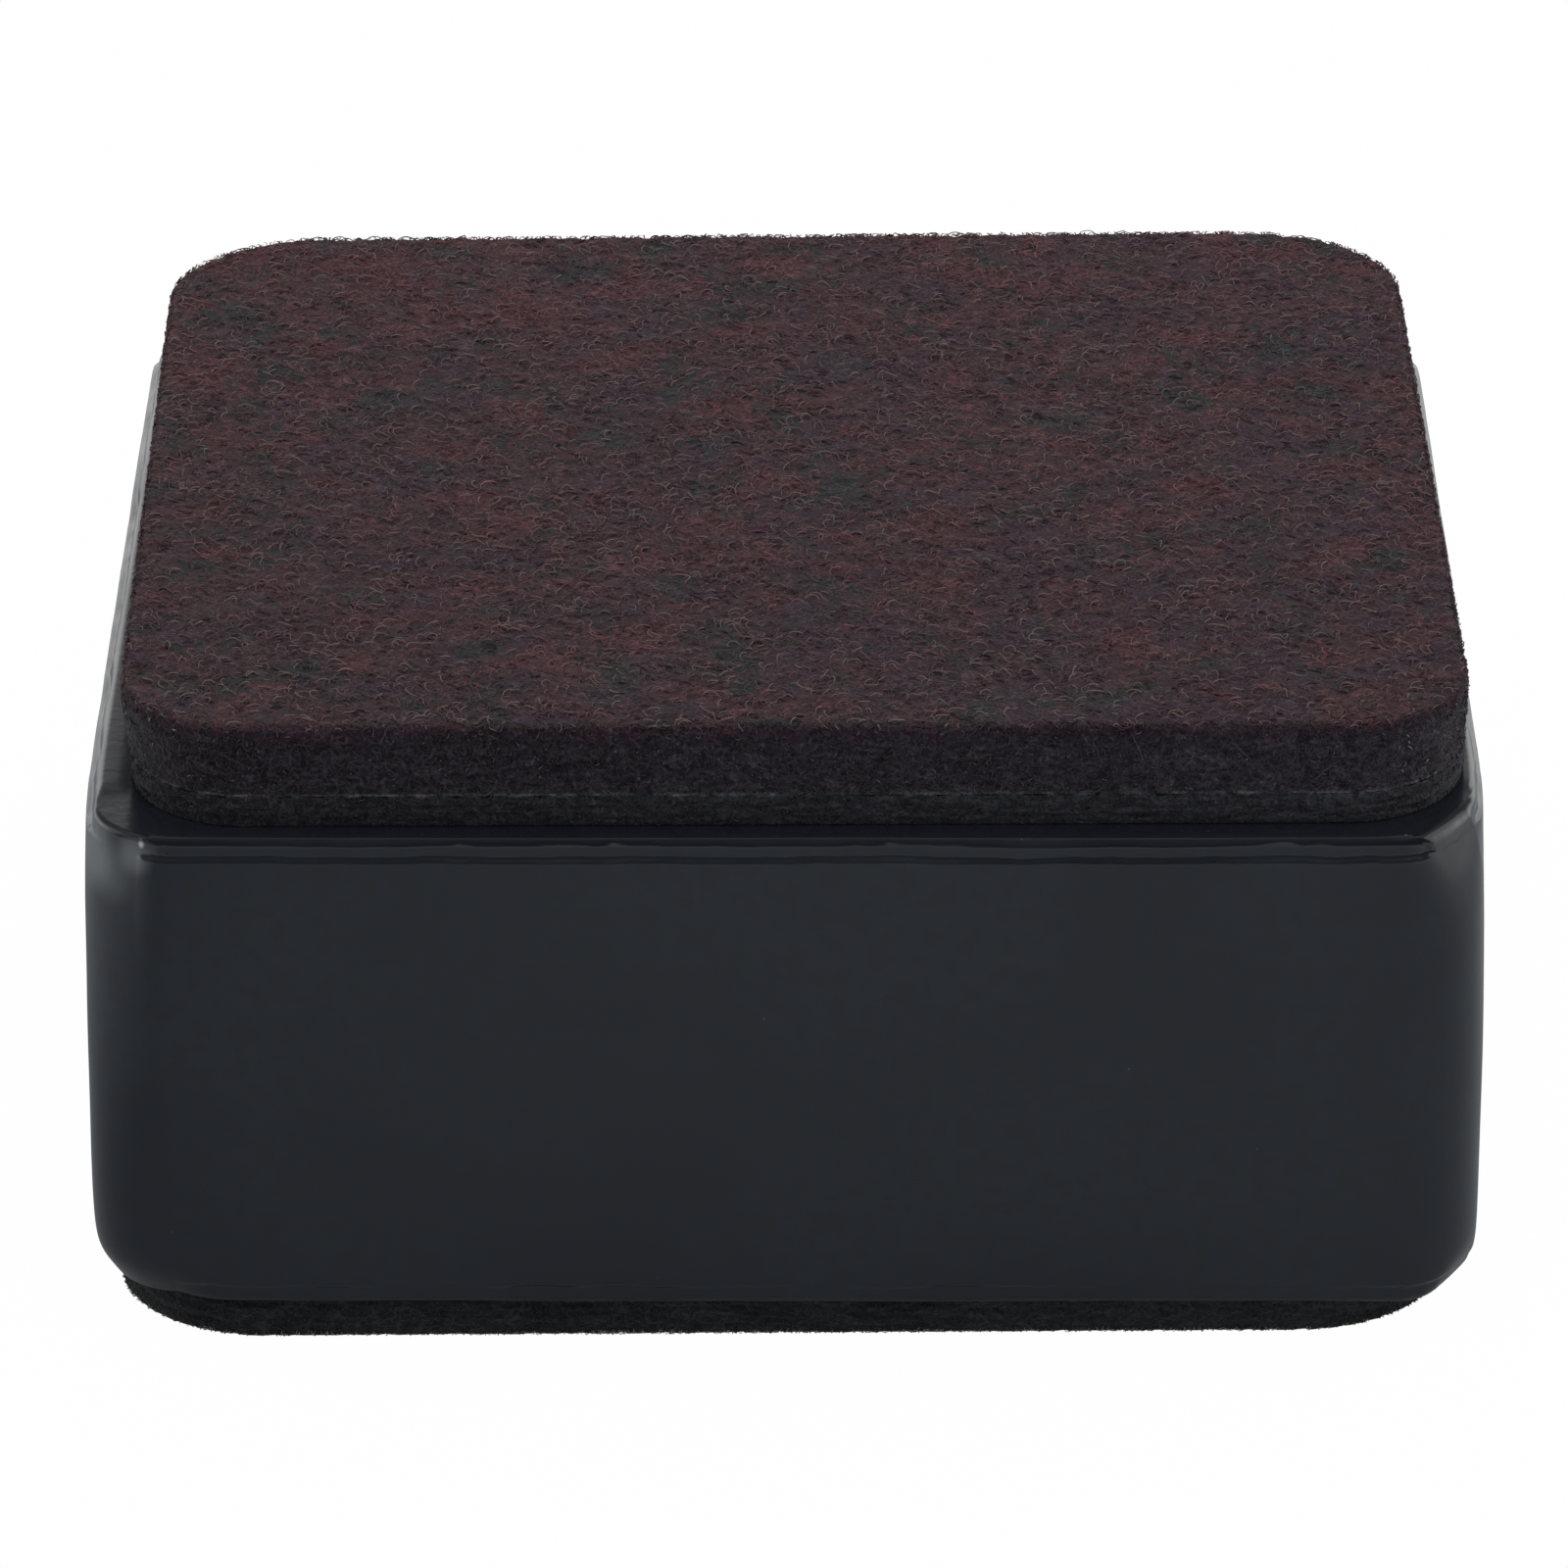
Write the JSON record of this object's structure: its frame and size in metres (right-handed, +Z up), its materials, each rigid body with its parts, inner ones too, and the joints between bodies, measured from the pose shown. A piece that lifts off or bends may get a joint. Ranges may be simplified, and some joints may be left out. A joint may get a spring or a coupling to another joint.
{
  "type": "furniture riser",
  "caption": "Square welded steel furniture riser, painted black, with a thick two-layer felt pad on top and a thin felt pad underneath; it goes under a furniture leg to raise it.",
  "frame": {"origin": "centre of the riser's footprint box, on the surface that the riser stands on", "axes": "+Z up through the pads, -Y towards the side that the picture shows, +X to the right"},
  "size_m": [0.06, 0.06, 0.0283],
  "materials": {
    "black_paint": "satin-gloss black paint over steel",
    "burgundy_felt": "mottled burgundy and charcoal needle felt",
    "dark_felt": "near-black needle felt",
    "black_felt": "thin black felt",
    "adhesive_film": "thin dark acrylic adhesive film"
  },
  "bodies": {
    "root": {"tube_shell": "black_paint", "top_plate": "black_paint", "bottom_plate": "black_paint", "top_weld_front": "black_paint", "top_weld_back": "black_paint", "top_weld_left": "black_paint", "top_weld_right": "black_paint", "top_corner_welds": "black_paint", "bottom_weld_front": "black_paint", "bottom_weld_back": "black_paint", "bottom_weld_left": "black_paint", "bottom_weld_right": "black_paint", "bottom_corner_welds": "black_paint", "top_adhesive_film": "adhesive_film", "top_felt_base": "dark_felt", "top_felt_face": "burgundy_felt", "bottom_adhesive_film": "adhesive_film", "bottom_felt": "black_felt"}
  },
  "joints": []
}
